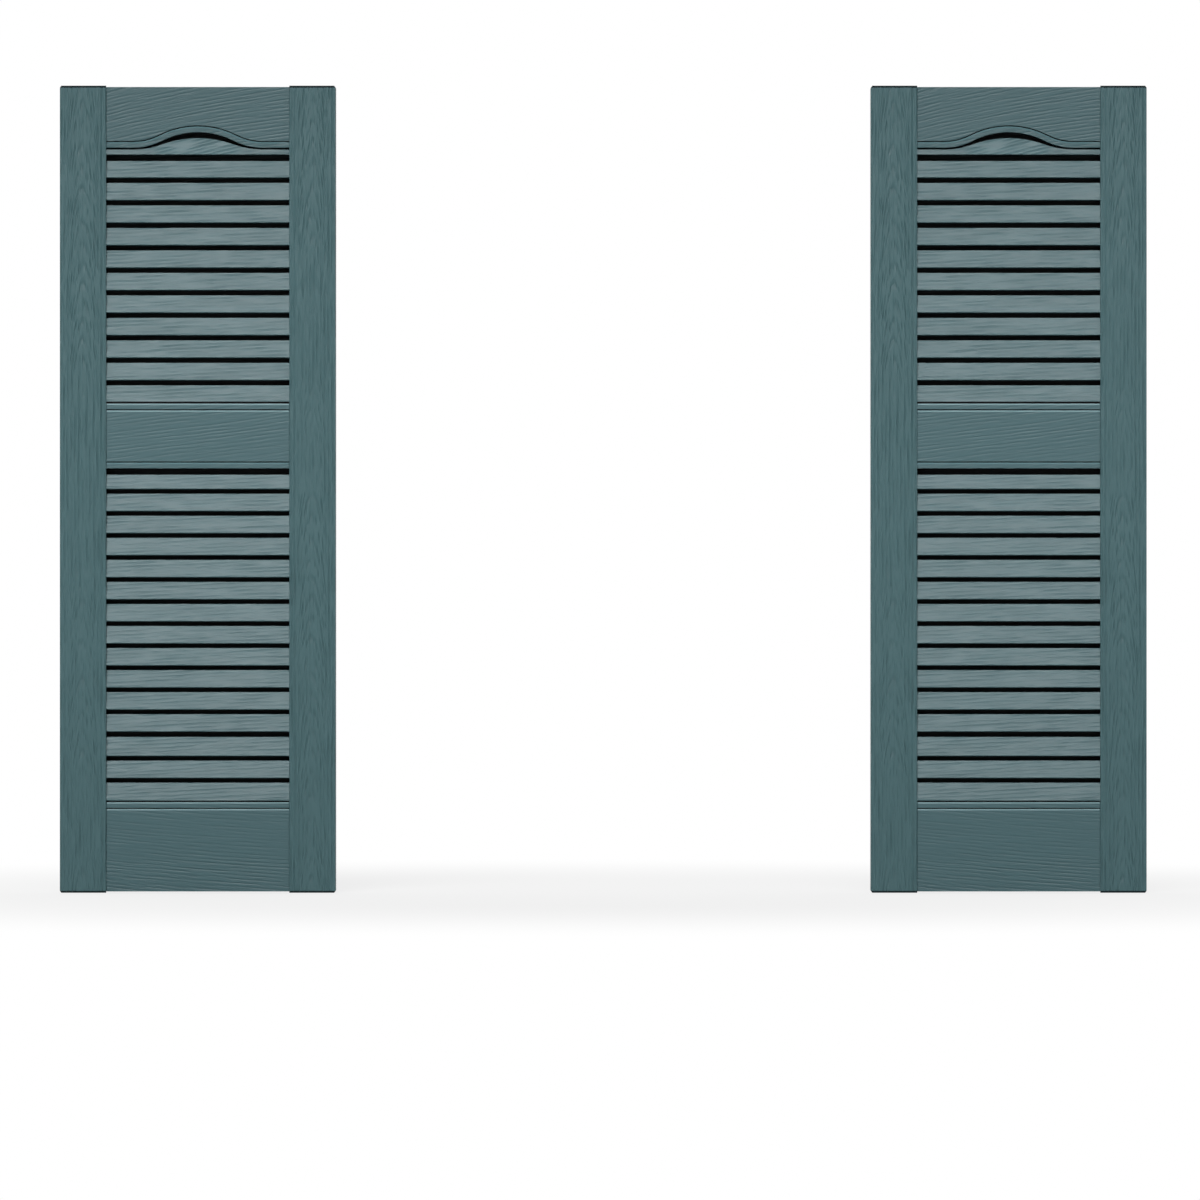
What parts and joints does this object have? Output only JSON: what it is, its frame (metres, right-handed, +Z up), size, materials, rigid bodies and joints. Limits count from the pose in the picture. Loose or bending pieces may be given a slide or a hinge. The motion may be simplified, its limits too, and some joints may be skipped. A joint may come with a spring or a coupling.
{
  "type": "pair of louvred shutters",
  "caption": "Pair of fixed decorative window shutters, each a moulded louvre panel with an arched top rail held between hollow stiles with end caps.",
  "frame": {"origin": "bottom centre of the pair, midway between the two shutters and between their fronts and backs", "axes": "+X to the right across the pair as seen from the front, +Y from the front to the wall, +Z up"},
  "size_m": [1.4582, 0.0318, 1.0829],
  "materials": {
    "louvre_panel": "embossed wood grain, satin",
    "stile": "embossed wood grain, satin",
    "stile_cap": "smooth, satin"
  },
  "bodies": {
    "root": {"left_shutter_louvre_panel": "louvre_panel", "left_shutter_left_stile": "stile", "left_shutter_left_bottom_cap": "stile_cap", "left_shutter_left_top_cap": "stile_cap", "left_shutter_right_stile": "stile", "left_shutter_right_bottom_cap": "stile_cap", "left_shutter_right_top_cap": "stile_cap", "right_shutter_louvre_panel": "louvre_panel", "right_shutter_left_stile": "stile", "right_shutter_left_bottom_cap": "stile_cap", "right_shutter_left_top_cap": "stile_cap", "right_shutter_right_stile": "stile", "right_shutter_right_bottom_cap": "stile_cap", "right_shutter_right_top_cap": "stile_cap"}
  },
  "joints": []
}
